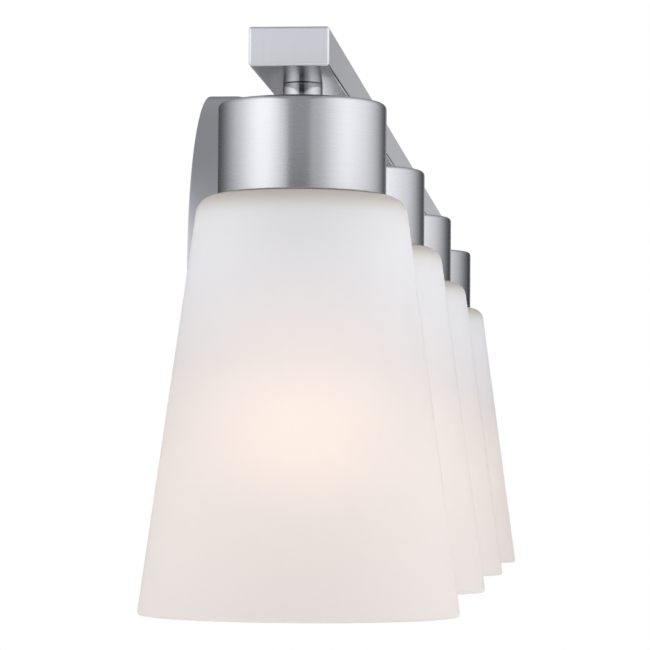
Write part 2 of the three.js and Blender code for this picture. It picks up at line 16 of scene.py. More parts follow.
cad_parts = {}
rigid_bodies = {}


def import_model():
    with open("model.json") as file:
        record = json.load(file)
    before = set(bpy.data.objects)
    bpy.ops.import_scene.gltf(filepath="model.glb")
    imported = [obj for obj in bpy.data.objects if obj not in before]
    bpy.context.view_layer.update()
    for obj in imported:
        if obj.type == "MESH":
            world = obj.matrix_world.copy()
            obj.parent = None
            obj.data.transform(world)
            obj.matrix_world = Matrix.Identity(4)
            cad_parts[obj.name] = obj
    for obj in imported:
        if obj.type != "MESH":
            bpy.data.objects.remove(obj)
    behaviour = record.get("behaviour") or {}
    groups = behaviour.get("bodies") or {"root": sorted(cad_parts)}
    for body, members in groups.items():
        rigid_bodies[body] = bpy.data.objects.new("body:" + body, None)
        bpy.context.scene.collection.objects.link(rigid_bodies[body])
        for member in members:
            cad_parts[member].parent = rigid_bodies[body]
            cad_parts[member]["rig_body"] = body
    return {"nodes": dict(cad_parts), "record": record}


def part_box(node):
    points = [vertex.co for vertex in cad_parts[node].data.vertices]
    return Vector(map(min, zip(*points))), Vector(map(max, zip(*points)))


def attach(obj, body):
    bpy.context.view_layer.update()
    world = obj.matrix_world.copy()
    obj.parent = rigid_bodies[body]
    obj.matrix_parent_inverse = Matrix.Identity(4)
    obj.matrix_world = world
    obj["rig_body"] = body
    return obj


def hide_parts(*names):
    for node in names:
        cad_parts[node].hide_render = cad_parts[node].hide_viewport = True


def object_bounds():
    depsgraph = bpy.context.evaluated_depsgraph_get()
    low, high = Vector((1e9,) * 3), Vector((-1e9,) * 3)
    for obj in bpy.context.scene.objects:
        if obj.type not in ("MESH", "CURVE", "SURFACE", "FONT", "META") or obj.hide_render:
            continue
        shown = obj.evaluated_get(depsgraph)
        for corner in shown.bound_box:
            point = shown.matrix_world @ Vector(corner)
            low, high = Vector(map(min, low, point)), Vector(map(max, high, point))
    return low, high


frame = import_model()
cad_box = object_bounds()
MM = 0.001
lamps = sorted(int(n.split("_")[1]) for n in frame["nodes"] if n.startswith("cup_"))
body_of_node = {n: o["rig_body"] for n, o in frame["nodes"].items()}
slot_of_node = {s["node"]: s["material_slot"] for s in frame["record"]["subparts"]}

# %% [markdown]
# ## Colours and nodes
# Finishes are described with the hex colours a maker would quote. Blender works in linear light, so one
# function converts them. A second one adds any node, with its settings, input values, links and, for a
# colour ramp, its stops, which keeps every material below to a few readable lines.

# %% Colour and node helpers


def colour(code):
    """An sRGB hex colour as linear RGBA."""
    parts = [int(code[i:i + 2], 16) / 255 for i in (1, 3, 5)]
    linear = [p / 12.92 if p <= 0.04045 else ((p + 0.055) / 1.055) ** 2.4 for p in parts]
    return (*linear, 1.0)


def node(tree, kind, links=None, inputs=None, stops=None, **settings):
    """Adds a node with its properties, input values, ramp stops and links from other nodes' outputs."""
    made = tree.nodes.new(kind)
    for name, value in settings.items():
        setattr(made, name, value)
    for name, value in (inputs or {}).items():
        made.inputs[name].default_value = value
    for name, output in (links or {}).items():
        tree.links.new(output, made.inputs[name])
    if stops:
        elements = made.color_ramp.elements
        while len(elements) < len(stops):
            elements.new(0.5)
        for element, (position, shade) in zip(elements, stops):
            element.position = position
            element.color = colour(shade) if isinstance(shade, str) else shade
    return made


def new_material(name):
    """A node material with its Principled shader and its object coordinates."""
    material = bpy.data.materials.new(name)
    material.use_nodes = True
    tree = material.node_tree
    shader = tree.nodes["Principled BSDF"]
    place = node(tree, "ShaderNodeTexCoord").outputs["Object"]
    return material, tree, shader, place


print("mid grey is", tuple(round(v, 3) for v in colour("#808080")))

# %% [markdown]
# ## Brushed nickel
# The body of the light is steel plated with satin nickel. A belt or a lathe leaves grooves about a third
# of a millimetre apart, and light spreads across them, not along them. Long thin noise cells drive the
# roughness and a slight bump, and the shader's anisotropy stretches the highlights. Round pieces are
# brushed round their axis and the bar along its length, so the grain's direction is a setting.

# %% Brushed nickel
GROOVE = 0.35 * MM
GROOVE_LENGTH = 18 * MM
BAR_GROOVE_LENGTH = 60 * MM
PLATING_PATCH = 500 / 7 * MM
NICKEL_TONES = ("#BFC1C5", "#C9CACD")
# Lighter than the plating's own tones: painted light for the bar's end faces and a painted highlight on their
# rims.
PAINTED_LIGHT_TONES = ("#DDDFE4", "#E3E4E8")
# Darker than the plating's own tones: painted shade for the neck under the bar, and for the cap nuts.
PAINTED_SHADE_TONES = ("#A9ABAF", "#B2B3B7")


def brushed_nickel(name, along, round_axis, turn, dull=0.27, groove_length=GROOVE_LENGTH, tones=NICKEL_TONES):
    """Satin nickel with its grain long in the directions that along marks with 1."""
    material, tree, shader, place = new_material(name)
    frequency = [1 / groove_length if long else 1 / GROOVE for long in along]
    grain_place = node(tree, "ShaderNodeMapping", {"Vector": place}, {"Scale": frequency})
    grain = node(tree, "ShaderNodeTexNoise", {"Vector": grain_place.outputs["Vector"]},
                 {"Scale": 1.0, "Detail": 3.0, "Roughness": 0.6}).outputs["Fac"]
    patches = node(tree, "ShaderNodeTexNoise", {"Vector": place}, {"Scale": 1 / PLATING_PATCH, "Detail": 2.0})
    tone = node(tree, "ShaderNodeValToRGB", {"Fac": patches.outputs["Fac"]},
                stops=[(0.3, tones[0]), (0.7, tones[1])])
    streak = node(tree, "ShaderNodeValToRGB", {"Fac": grain}, stops=[(0.3, "#FBFBFC"), (0.62, "#FFFFFF")])
    mixed = node(tree, "ShaderNodeMix", data_type="RGBA", blend_type="MULTIPLY")
    mixed.inputs["Factor"].default_value = 1.0
    tree.links.new(tone.outputs["Color"], mixed.inputs["A"])
    tree.links.new(streak.outputs["Color"], mixed.inputs["B"])
    tree.links.new(mixed.outputs["Result"], shader.inputs["Base Color"])
    sheen = node(tree, "ShaderNodeMapRange", {"Value": grain},
                 {"To Min": dull - 0.01, "To Max": dull + 0.015})
    tree.links.new(sheen.outputs["Result"], shader.inputs["Roughness"])
    bump = node(tree, "ShaderNodeBump", {"Height": grain}, {"Strength": 0.01, "Distance": 0.02 * MM})
    tree.links.new(bump.outputs["Normal"], shader.inputs["Normal"])
    tangent = node(tree, "ShaderNodeTangent", direction_type="RADIAL", axis=round_axis)
    tree.links.new(tangent.outputs["Tangent"], shader.inputs["Tangent"])
    shader.inputs["Metallic"].default_value = 1.0
    shader.inputs["Anisotropic"].default_value = 0.75
    shader.inputs["Anisotropic Rotation"].default_value = turn
    return material


nickel_turned = brushed_nickel("satin_nickel_turned", (1, 1, 0), "Z", 0.25)
nickel_bar = brushed_nickel("satin_nickel_lengthwise", (1, 0, 0), "X", 0.0, 0.16, BAR_GROOVE_LENGTH)
# The end faces and their rims are coloured lighter, as painted light and a painted highlight; the neck and
# the cap nuts are coloured darker, as painted shade.
nickel_end = brushed_nickel("satin_nickel_end_face_painted_light", (0, 0, 1), "Z", 0.0, 0.6, tones=PAINTED_LIGHT_TONES)
nickel_canopy = brushed_nickel("satin_nickel_canopy", (1, 0, 1), "Y", 0.25, 0.3)
nickel_edge = brushed_nickel("satin_nickel_edge_painted_highlight", (1, 1, 1), "Z", 0.0, 0.4, tones=PAINTED_LIGHT_TONES)
nickel_neck = brushed_nickel("polished_nickel_neck_painted_shade", (1, 1, 0), "Z", 0.25, 0.1, tones=PAINTED_SHADE_TONES)
print("nickel grain", GROOVE / MM, "mm by", GROOVE_LENGTH / MM, "mm")

# %% [markdown]
# ## Satin glass and the lit bulb
# The shades are opal glass dipped in acid: white in the mass, matt to the touch, with no grain that shows.
# The wall lets part of the bulb's light through a rough surface. The soft warm pool of light near the bulb's
# height, and the cooler, greyer glass towards the shoulder, are painted light and painted shade: the glass's
# colour and a faint glow of its own follow the height in the shade.

# %% Satin glass
ETCH_GRAIN = 10 / 9 * MM
shade_low, shade_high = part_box("shade_1")


def satin_glass(name):
    """Acid-etched opal glass with painted light and shade: its colour and a faint painted glow follow the
    height in the shade.
    """
    material, tree, shader, place = new_material(name)
    height = node(tree, "ShaderNodeSeparateXYZ", {"Vector": place}).outputs["Z"]
    level = node(tree, "ShaderNodeMapRange", {"Value": height},
                 {"From Min": shade_low.z, "From Max": shade_high.z}).outputs["Result"]
    mottle = node(tree, "ShaderNodeTexNoise", {"Vector": place},
                  {"Scale": 1 / ETCH_GRAIN, "Detail": 2.0}).outputs["Fac"]
    # Painted light and shade: the glass is greyer towards the lip, lighter near the shoulder and darker again
    # at the very top.
    painted_light_and_shade = node(tree, "ShaderNodeValToRGB", {"Fac": level},
                stops=[(0.0, "#DAD7D5"), (0.45, "#E1DDDB"), (0.8, "#E7E7E9"), (0.95, "#ECECED"),
                       (0.985, "#DDD7D0")])
    # Painted glow, as if the glass were a lamp: warm and bright in the lower part of the shade, greyer and
    # dimmer towards the shoulder.
    glow = node(tree, "ShaderNodeValToRGB", {"Fac": level},
                stops=[(0.0, "#FFF3ED"), (0.35, "#FAEBE1"), (0.6, "#BEBBBC"), (0.86, "#CACBCF"),
                       (0.93, "#C8C8CA"), (0.985, "#8F8A83")])
    tree.links.new(painted_light_and_shade.outputs["Color"], shader.inputs["Base Color"])
    tree.links.new(glow.outputs["Color"], shader.inputs["Emission Color"])
    shader.inputs["Emission Strength"].default_value = 0.16
    etched = node(tree, "ShaderNodeMapRange", {"Value": mottle}, {"To Min": 0.68, "To Max": 0.8})
    tree.links.new(etched.outputs["Result"], shader.inputs["Roughness"])
    bump = node(tree, "ShaderNodeBump", {"Height": mottle}, {"Strength": 0.04, "Distance": 0.05 * MM})
    tree.links.new(bump.outputs["Normal"], shader.inputs["Normal"])
    shader.inputs["Transmission Weight"].default_value = 0.38
    shader.inputs["IOR"].default_value = 1.5
    return material


shade_glass = satin_glass("acid_etched_opal_glass_painted_glow")
print("glass ramp runs from", round(shade_low.z, 4), "to", round(shade_high.z, 4))

# %% [markdown]
# The bulb's glass is frosted and lit. It is brightest in the lower part of its globe and dims towards its
# neck, so the pool of light in the shade has a soft upper edge.

# %% Lit bulb
FROST_GRAIN = 5 / 6 * MM
bulb_low, bulb_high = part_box("bulb_glass_1")


def lit_bulb(name):
    """Frosted bulb glass whose glow fades from the globe up to the neck."""
    material, tree, shader, place = new_material(name)
    frost = node(tree, "ShaderNodeTexNoise", {"Vector": place}, {"Scale": 1 / FROST_GRAIN, "Detail": 1.0})
    frosted = node(tree, "ShaderNodeMapRange", {"Value": frost.outputs["Fac"]},
                   {"To Min": 0.45, "To Max": 0.6})
    tree.links.new(frosted.outputs["Result"], shader.inputs["Roughness"])
    height = node(tree, "ShaderNodeSeparateXYZ", {"Vector": place}).outputs["Z"]
    level = node(tree, "ShaderNodeMapRange", {"Value": height},
                 {"From Min": bulb_low.z, "From Max": bulb_high.z}).outputs["Result"]
    glow = node(tree, "ShaderNodeValToRGB", {"Fac": level},
                stops=[(0.0, "#FFE2C8"), (0.25, "#FFE2C8"), (0.5, "#C9B09B"), (0.8, "#8C7767"),
                       (1.0, "#5A4D43")])
    tree.links.new(glow.outputs["Color"], shader.inputs["Emission Color"])
    shader.inputs["Base Color"].default_value = colour("#FFF6EA")
    shader.inputs["Emission Strength"].default_value = 2.5
    return material


bulb_frost = lit_bulb("frosted_bulb_glass_lit")
print("bulb glass runs from", round(bulb_low.z, 4), "to", round(bulb_high.z, 4))

# %% [markdown]
# ## The small materials
# Zinc plate on the screws and the crossbar is duller and slightly mottled. The screw shell and contact are
# pressed brass, the socket and the shade ring are moulded phenolic resin, the bulb's base is rolled
# aluminium, and the wires have a soft vinyl jacket. Each one gets a low, real-scale variation.

# %% Small materials
PLATE_GRAIN = 10 / 3 * MM
RESIN_GRAIN = 2 * MM
VINYL_GRAIN = 5 / 3 * MM


def mottled(name, dark, bright, rough, metal=0.0, grain=PLATE_GRAIN):
    """A plain finish with a fine variation of colour, gloss and height."""
    material, tree, shader, place = new_material(name)
    noise = node(tree, "ShaderNodeTexNoise", {"Vector": place},
                 {"Scale": 1 / grain, "Detail": 3.0}).outputs["Fac"]
    tone = node(tree, "ShaderNodeValToRGB", {"Fac": noise}, stops=[(0.3, dark), (0.7, bright)])
    gloss = node(tree, "ShaderNodeMapRange", {"Value": noise},
                 {"To Min": rough - 0.06, "To Max": rough + 0.08})
    bump = node(tree, "ShaderNodeBump", {"Height": noise}, {"Strength": 0.2, "Distance": 0.02 * MM})
    tree.links.new(tone.outputs["Color"], shader.inputs["Base Color"])
    tree.links.new(gloss.outputs["Result"], shader.inputs["Roughness"])
    tree.links.new(bump.outputs["Normal"], shader.inputs["Normal"])
    shader.inputs["Metallic"].default_value = metal
    return material


zinc = mottled("zinc_plated_steel", "#AEB2B6", "#C9CBCA", 0.34, metal=1.0)
brass = mottled("pressed_brass", "#C49B4C", "#DDBB6E", 0.25, metal=1.0)
phenolic = mottled("moulded_phenolic_resin", "#1C1C1F", "#2A2A2D", 0.42, grain=RESIN_GRAIN)
aluminium = mottled("rolled_aluminium", "#C9CACB", "#DEDFDF", 0.28, metal=1.0)
green_zinc = mottled("green_dyed_zinc", "#1E6B36", "#2F8A4B", 0.35, metal=0.6)
black_vinyl = mottled("black_vinyl_jacket", "#161617", "#222224", 0.5, grain=VINYL_GRAIN)
white_vinyl = mottled("white_vinyl_jacket", "#DEDBD2", "#ECE9E1", 0.5, grain=VINYL_GRAIN)
print("materials", len(bpy.data.materials))

# %% [markdown]
# ## Pieces
# Every piece ends as a mesh object at the origin with its place in its mesh, so patterns stay put. It stands
# for one CAD node, hides that node's solid and rides on its body, so it moves when the joint does.

# %% Pieces


def to_piece(bm, name, covers, material, sharp=32, edge_material=None):
    """Makes the bmesh an object that stands for the CAD node, on the same body."""
    bmesh.ops.recalc_face_normals(bm, faces=bm.faces)
    mesh = bpy.data.meshes.new(name)
    bm.to_mesh(mesh)
    bm.free()
    mesh.materials.append(material)
    if edge_material:
        mesh.materials.append(edge_material)
    mesh.shade_smooth()
    mesh.set_sharp_from_angle(angle=math.radians(sharp))
    piece = bpy.data.objects.new(name, mesh)
    bpy.context.scene.collection.objects.link(piece)
    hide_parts(covers)
    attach(piece, body_of_node[covers])
    return piece


def upright(name):
    """A node's box and the point where its upright axis crosses the datum height."""
    low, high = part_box(name)
    return low, high, Vector(((low.x + high.x) / 2, (low.y + high.y) / 2, 0))


print("nodes to dress", len(body_of_node))

# %% [markdown]
# ## Turning
# Most pieces are turned. A bmesh starts as a handful of profile points joined by edges, spin carries them
# round the axis, and bevel rounds the corners that a maker would round. Small pieces need fewer sides than
# the wide ones to look as round.

# %% Turning
SMALL_SIDES, SIDES, SHADE_SIDES, CANOPY_SIDES = 64, 96, 128, 160


def turned(profile, centre, steps=SIDES, closed=False, axis="Z"):
    """A bmesh spun from (radius, height, corner rounding) points, in metres, about an axis through centre."""
    bm = bmesh.new()
    points = [bm.verts.new((p[0], 0, p[1])) for p in profile]
    ring = points + points[:1] if closed else points
    edges = [bm.edges.new(pair) for pair in zip(ring, ring[1:])]
    bmesh.ops.spin(bm, geom=points + edges, cent=(0, 0, 0), axis=(0, 0, 1), angle=2 * math.pi, steps=steps,
                   use_merge=True)
    bmesh.ops.remove_doubles(bm, verts=bm.verts, dist=1e-7)
    bmesh.ops.recalc_face_normals(bm, faces=bm.faces)
    for point in profile:
        if len(point) > 2 and point[2] > 0:
            round_off(bm, point)
    turn = {"Z": Matrix.Identity(4), "Y": Matrix.Rotation(math.radians(90), 4, "X")}[axis]
    bmesh.ops.transform(bm, matrix=Matrix.Translation(centre) @ turn, verts=bm.verts)
    return bm


def round_off(bm, point, segments=5):
    """Bevels the circle of edges that the profile point was spun into."""
    radius, height, rounding = point

    def on_circle(vert):
        return abs(vert.co.z - height) < 1e-7 and abs(Vector(vert.co[:2]).length - radius) < 1e-6

    circle = [e for e in bm.edges if all(on_circle(v) for v in e.verts)]
    bmesh.ops.bevel(bm, geom=circle, offset=rounding, segments=segments, profile=0.5, affect="EDGES",
                    material=-1, clamp_overlap=True)


print("turned pieces have", SMALL_SIDES, "to", CANOPY_SIDES, "sides")

# %% [markdown]
# ## Boxing
# Box-shaped pieces start from a cube, scaled to two corners, and a test picks the edges to round. Where a
# piece has a second shape, such as a plug or a rib, that shape is merged into the same mesh.

# %% Boxing


def boxed(low, high, rounding=0.0, segments=4, choose=lambda edge: True):
    """A bmesh box between two corners with the chosen edges rounded."""
    bm = bmesh.new()
    size = Vector(high) - Vector(low)
    bmesh.ops.create_cube(bm, size=1.0)
    bmesh.ops.scale(bm, vec=size, verts=bm.verts)
    bmesh.ops.translate(bm, vec=(Vector(low) + Vector(high)) / 2, verts=bm.verts)
    if rounding:
        chosen = [e for e in bm.edges if choose(e)]
        bmesh.ops.bevel(bm, geom=chosen, offset=rounding, segments=segments, profile=0.5, affect="EDGES",
                        material=-1, clamp_overlap=True)
    return bm


def merge_in(bm, other):
    """Adds the other bmesh's shape to bm and frees it."""
    mesh = bpy.data.meshes.new("joining")
    other.to_mesh(mesh)
    other.free()
    bm.from_mesh(mesh)
    bpy.data.meshes.remove(mesh)
    return bm


print("boxed pieces round their edges in 2 to 5 steps")

# %% [markdown]
# ## Camera
# The light is seen from one end, a little below the bar, looking along it with a long lens. The camera's
# place is worked out from the frame, in cup widths: so far back from the first lamp's axis along the bar, so
# far from it towards the room, and so far below the datum.

# %% Camera
lamp_axis = [sum(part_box(f"cup_{n}"), Vector()) / 2 for n in lamps]
cup_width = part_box("cup_1")[1].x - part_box("cup_1")[0].x
BACK, OUT, BELOW = 17.422, 1.7559, 1.6066
YAW, PITCH, ROLL = 0.0923, 0.0510, 0.0074
LENS = 164.07
camera_place = Vector((lamp_axis[0].x - BACK * cup_width, lamp_axis[0].y - OUT * cup_width,
                       -BELOW * cup_width))
forward = Vector((math.cos(YAW) * math.cos(PITCH), math.sin(YAW) * math.cos(PITCH), math.sin(PITCH)))
level_right = Vector((math.sin(YAW), -math.cos(YAW), 0))
level_up = level_right.cross(forward)
right = level_right * math.cos(ROLL) + level_up * math.sin(ROLL)
up = right.cross(forward)
camera_data = bpy.data.cameras.new("camera")
camera_data.sensor_width = 36
camera_data.lens = LENS
camera_data.clip_end = 100
camera = bpy.data.objects.new("camera", camera_data)
turn = Matrix((right, up, -forward)).transposed().to_4x4()
camera.matrix_world = Matrix.Translation(camera_place) @ turn
bpy.context.scene.collection.objects.link(camera)
bpy.context.scene.camera = camera
print("camera at", tuple(round(v, 3) for v in camera_place))

# %% [markdown]
# ## The cups and necks
# A cup is deep-drawn from sheet: one wall thickness, a small round corner at the top, a plain cut edge
# below. Its profile starts at the pierced top, runs down the inside and comes up the outside. The neck is a
# short bored spacer. The frame leaves a working gap of 0.3 mm between pieces that rest on each other, and a
# real joint shows none, so the neck, the bar and the arm reach over it by a seam of 0.28 mm.

# %% Cups and necks
WALL = 1.2 * MM
PIPE_HOLE = 5.25 * MM
SEAM = 0.28 * MM
CUP_CORNER = 2.1 * MM
CUP_INNER_CORNER = 1.0 * MM
NECK_CORNER = 0.3 * MM


def make_cup(n):
    """A drawn cup with a pierced closed top and an open underside."""
    low, high, centre = upright(f"cup_{n}")
    outer = (high.x - low.x) / 2
    inner = outer - WALL
    profile = [(PIPE_HOLE, high.z), (PIPE_HOLE, high.z - WALL), (inner, high.z - WALL, CUP_INNER_CORNER),
               (inner, low.z, 0.3 * MM), (outer, low.z, 0.35 * MM), (outer, high.z, CUP_CORNER)]
    return to_piece(turned(profile, centre, closed=True), f"cup_{n}_drawn", f"cup_{n}", nickel_turned)


def make_neck(n):
    """A bored spacer that reaches over the working gap to the bar above and the cup below."""
    low, high, centre = upright(f"neck_{n}")
    outer = (high.x - low.x) / 2
    top, bottom = high.z + SEAM, low.z - SEAM
    profile = [(PIPE_HOLE, top), (PIPE_HOLE, bottom), (outer, bottom, NECK_CORNER), (outer, top, NECK_CORNER)]
    bm = turned(profile, centre, SMALL_SIDES, closed=True)
    return to_piece(bm, f"neck_{n}_turned", f"neck_{n}", nickel_neck)


for n in lamps:
    make_cup(n)
    make_neck(n)
print("cups and necks", 2 * len(lamps))

# %% [markdown]
# ## The glass shades
# Each shade is blown into a mould: a wall of even thickness, a soft shoulder under the cup, a flat pierced
# top that the ring clamps, and a fire-polished lip. The wall's two sides are one closed profile.

# %% Shades
GLASS = 3.2 * MM
SHADE_OVERHANG = 7.25 * MM
SHADE_HOLE = 20.0 * MM
SHOULDER, INNER_SHOULDER = 6.2 * MM, 3.6 * MM
LIP, INNER_LIP = 1.5 * MM, 1.1 * MM
LIP_ALLOWANCE = 0.15 * MM


def make_shade(n):
    """A tapered glass, wider than the cup by the overhang; the lip's rounding takes up its allowance."""
    low, high, centre = upright(f"shade_{n}")
    mouth = (high.x - low.x) / 2 + LIP_ALLOWANCE
    shoulder = cup_width / 2 + SHADE_OVERHANG
    profile = [(SHADE_HOLE, high.z, 0.5 * MM), (shoulder, high.z, SHOULDER), (mouth, low.z, LIP),
               (mouth - GLASS, low.z, INNER_LIP), (shoulder - GLASS, high.z - GLASS, INNER_SHOULDER),
               (SHADE_HOLE, high.z - GLASS, 0.5 * MM)]
    bm = turned(profile, centre, SHADE_SIDES, closed=True)
    return to_piece(bm, f"shade_{n}_glass", f"shade_{n}", shade_glass, sharp=50)


for n in lamps:
    make_shade(n)
print("shades", len(lamps))

# %% [markdown]
# ## Sockets and screw shells
# The socket is moulded resin with a coarse thread on its nose for the shade's ring. A thread's flank is drawn
# as rounded rings, which look like the thread from any side and stay a closed turned shape. The brass shell
# inside is pressed from thin sheet, so its inside follows its outside.

# %% Sockets and shells
NOSE_PITCH = 2.5 * MM
SCREW_PITCH = 3.63 * MM
SHELL_SHEET = 0.35 * MM


def waves(radius, low, high, pitch, depth, per_turn=6):
    """Profile points down a thread's flank, from high to low, as rounded rings."""
    count = max(2, round((high - low) / pitch * per_turn))
    heights = [high + (low - high) * i / count for i in range(count + 1)]
    return [(radius - depth / 2 * (1 - math.cos(2 * math.pi * (high - z) / pitch)), z) for z in heights]


def make_socket(n):
    """A socket body: a bored nose with its thread, and a wider body above it."""
    low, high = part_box(f"socket_body_{n}")
    centre = lamp_axis[lamps.index(n)].copy()
    centre.z = 0
    nose, body, bore, pipe = 19.2 * MM, 21.95 * MM, 14.6 * MM, 5.3 * MM
    nose_top = low.z + 28 * MM
    well_top = low.z + 31.8 * MM
    thread = waves(nose, low.z + 1.5 * MM, nose_top - 3 * MM, NOSE_PITCH, 0.7 * MM)
    profile = [(pipe, high.z), (pipe, well_top), (bore, well_top), (bore, low.z, 0.6 * MM),
               (nose, low.z, 0.6 * MM)] + thread[::-1]
    profile += [(nose, nose_top), (body, nose_top, 0.8 * MM), (body, high.z, 2.5 * MM)]
    bm = turned(profile, centre, SMALL_SIDES, closed=True)
    return to_piece(bm, f"socket_{n}_moulded", f"socket_body_{n}", phenolic)


def make_shell(n):
    """A screw shell with the bulb's thread pressed into its sheet."""
    low, high, centre = upright(f"socket_shell_{n}")
    flank = waves((high.x - low.x) / 2, low.z, high.z, SCREW_PITCH, 0.5 * MM)
    inside = [(r - SHELL_SHEET, z) for r, z in reversed(flank)]
    bm = turned(flank + inside, centre, SMALL_SIDES, closed=True)
    return to_piece(bm, f"screw_shell_{n}_pressed", f"socket_shell_{n}", brass)


print("a nose's thread has", round(25 * MM / NOSE_PITCH), "turns in 25 mm")

# %% [markdown]
# ## Shade rings
# The ring that holds a shade is turned by hand, so its skirt has ribs to grip. Each rib is a small rounded
# block, turned to its own place round the skirt and merged into the ring. Then each lamp gets its socket,
# shell and ring.

# %% Shade rings
RING_SIDES = 72
GRIPS = 24
FLANGE = 2 * MM


def make_ring(n):
    """A threaded ring: a flange above, a skirt below and grips round the skirt."""
    low, high, centre = upright(f"shade_ring_{n}")
    outer = (high.x - low.x) / 2
    inner = 19.75 * MM
    skirt = outer - 2 * MM
    profile = [(inner, high.z, 0.4 * MM), (inner, low.z, 0.4 * MM), (skirt, low.z, 0.6 * MM),
               (skirt, high.z - FLANGE), (outer, high.z - FLANGE, 0.4 * MM), (outer, high.z, 0.4 * MM)]
    bm = turned(profile, centre, RING_SIDES, closed=True)
    for i in range(GRIPS):
        angle = 2 * math.pi * i / GRIPS
        reach = Vector((math.cos(angle), math.sin(angle), 0)) * (skirt + 0.2 * MM)
        rib_low = (-0.8 * MM, -0.7 * MM, low.z + 0.5 * MM)
        rib_high = (0.8 * MM, 0.7 * MM, high.z - 1.8 * MM)
        rib = boxed(rib_low, rib_high, 0.3 * MM, 2)
        turn_rib = Matrix.Translation(centre + reach) @ Matrix.Rotation(angle, 4, "Z")
        bmesh.ops.transform(rib, matrix=turn_rib, verts=rib.verts)
        merge_in(bm, rib)
    return to_piece(bm, f"shade_ring_{n}_moulded", f"shade_ring_{n}", phenolic)


for n in lamps:
    make_socket(n)
    make_shell(n)
    make_ring(n)
print("sockets, shells and rings", 3 * len(lamps))

# %% [markdown]
# ## The bulb's glass
# The globe is a half circle below, which runs up into the throat along one smooth curve. A cubic curve with a
# handle at each end draws that curve: upright at the throat, and upright again at the globe's widest place.

# %% Bulb glass
THROAT, STEM = 13.75 * MM, 12.0 * MM
ARC_STEPS = 14


def smooth_curve(start, leave, arrive, end, steps):
    """Points on a cubic curve between two ends with two handles."""
    corners = (start, leave, arrive, end)
    found = []
    for i in range(steps + 1):
        t = i / steps
        weights = ((1 - t) ** 3, 3 * t * (1 - t) ** 2, 3 * t * t * (1 - t), t ** 3)
        found.append(tuple(sum(w * p[k] for w, p in zip(weights, corners)) for k in (0, 1)))
    return found


def make_bulb(n):
    """Frosted glass: a stem inside the base, the flank, and the half circle below."""
    low, high, centre = upright(f"bulb_glass_{n}")
    base_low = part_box(f"bulb_base_{n}")[0].z
    globe = (high.x - low.x) / 2
    globe_z = low.z + globe
    flank = smooth_curve((THROAT, base_low - 1.9 * MM), (THROAT, base_low - 14.9 * MM),
                         (globe, globe_z + 22.5 * MM), (globe, globe_z), ARC_STEPS)
    angles = [math.pi / 2 * i / ARC_STEPS for i in range(1, ARC_STEPS + 1)]
    end = [(globe * math.cos(a), globe_z - globe * math.sin(a)) for a in angles]
    profile = [(0, high.z), (STEM, high.z), (STEM, base_low - 0.2 * MM)] + flank + end
    profile[-1] = (0, low.z)
    bm = turned(profile, centre, SMALL_SIDES)
    return to_piece(bm, f"bulb_{n}_frosted", f"bulb_glass_{n}", bulb_frost)


print("the globe's half circle has", ARC_STEPS, "steps")

# %% [markdown]
# ## The bulb's base
# The base is rolled aluminium with the same pitch as the screw shell, so the two match. A narrow contact tip
# stands on its end, and the glass is set into its open side. Then each lamp gets its bulb.

# %% Bulb bases
TIP = 4.5 * MM
TIP_HEIGHT = 3 * MM


def make_base(n):
    """A screw base: the tip, the shoulder, the rolled thread and the rim that holds the glass."""
    low, high, centre = upright(f"bulb_base_{n}")
    outer = (high.x - low.x) / 2
    shoulder = high.z - TIP_HEIGHT
    profile = [(0, high.z), (TIP, high.z, 0.8 * MM), (TIP, shoulder, 0), (outer - 3 * MM, shoulder, 0.6 * MM)]
    profile += waves(outer, low.z + 4 * MM, shoulder - 2.5 * MM, SCREW_PITCH, 1.2 * MM)
    profile += [(outer, low.z + 3 * MM), (outer, low.z), (outer - 0.5 * MM, low.z)]
    profile += [(outer - 1.7 * MM, shoulder - 3.5 * MM), (0, shoulder - 3.5 * MM)]
    bm = turned(profile, centre, SMALL_SIDES)
    return to_piece(bm, f"bulb_base_{n}_rolled", f"bulb_base_{n}", aluminium)


for n in lamps:
    make_bulb(n)
    make_base(n)
print("bulbs and bases", 2 * len(lamps))

# %% [markdown]
# ## The bar and the arm
# Both are drawn rectangular tubes with slightly rounded long edges. A cube without its two end faces,
# bevelled along its length and given a wall by solidify, is that tube.

# %% Bar and arm
EDGE = 1.0 * MM
ARM_EDGE = 1.2 * MM


def tube_between(low, high, axis, rounding, wall):
    """A rectangular tube, open at both ends, with its long edges rounded and its wall inwards."""
    along = "XYZ".index(axis)

    def long_edge(edge):
        direction = edge.verts[1].co - edge.verts[0].co
        return abs(direction[along]) > 0.9 * direction.length

    bm = boxed(low, high, rounding, 4, long_edge)
    ends = [f for f in bm.faces if abs(f.normal[along]) > 0.9]
    bmesh.ops.delete(bm, geom=ends, context="FACES_ONLY")
    bmesh.ops.recalc_face_normals(bm, faces=bm.faces)
    bmesh.ops.solidify(bm, geom=bm.faces[:], thickness=wall)
    return bm


bar_low, bar_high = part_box("bar")
tube_low = bar_low - Vector((SEAM, 0, 0))
tube_high = bar_high + Vector((SEAM, 0, 0))
to_piece(tube_between(tube_low, tube_high, "X", EDGE, WALL), "bar_tube", "bar", nickel_bar)
print("bar length", round(bar_high.x - bar_low.x, 4))

# %% [markdown]
# ## The end caps
# Each is a plate, polished flush with the tube, with a plug that fits inside it. The plate's rim is buffed
# smoother than its face, so those faces of the mesh take a second finish that catches the light panels. Face
# and rim are both coloured lighter than the rest of the nickel: painted light on the face and a painted
# highlight on the rim.

# %% End caps
PLATE = 2 * MM
PLUG_INSET = 1.6 * MM
PLATE_GAP = 0.02 * MM


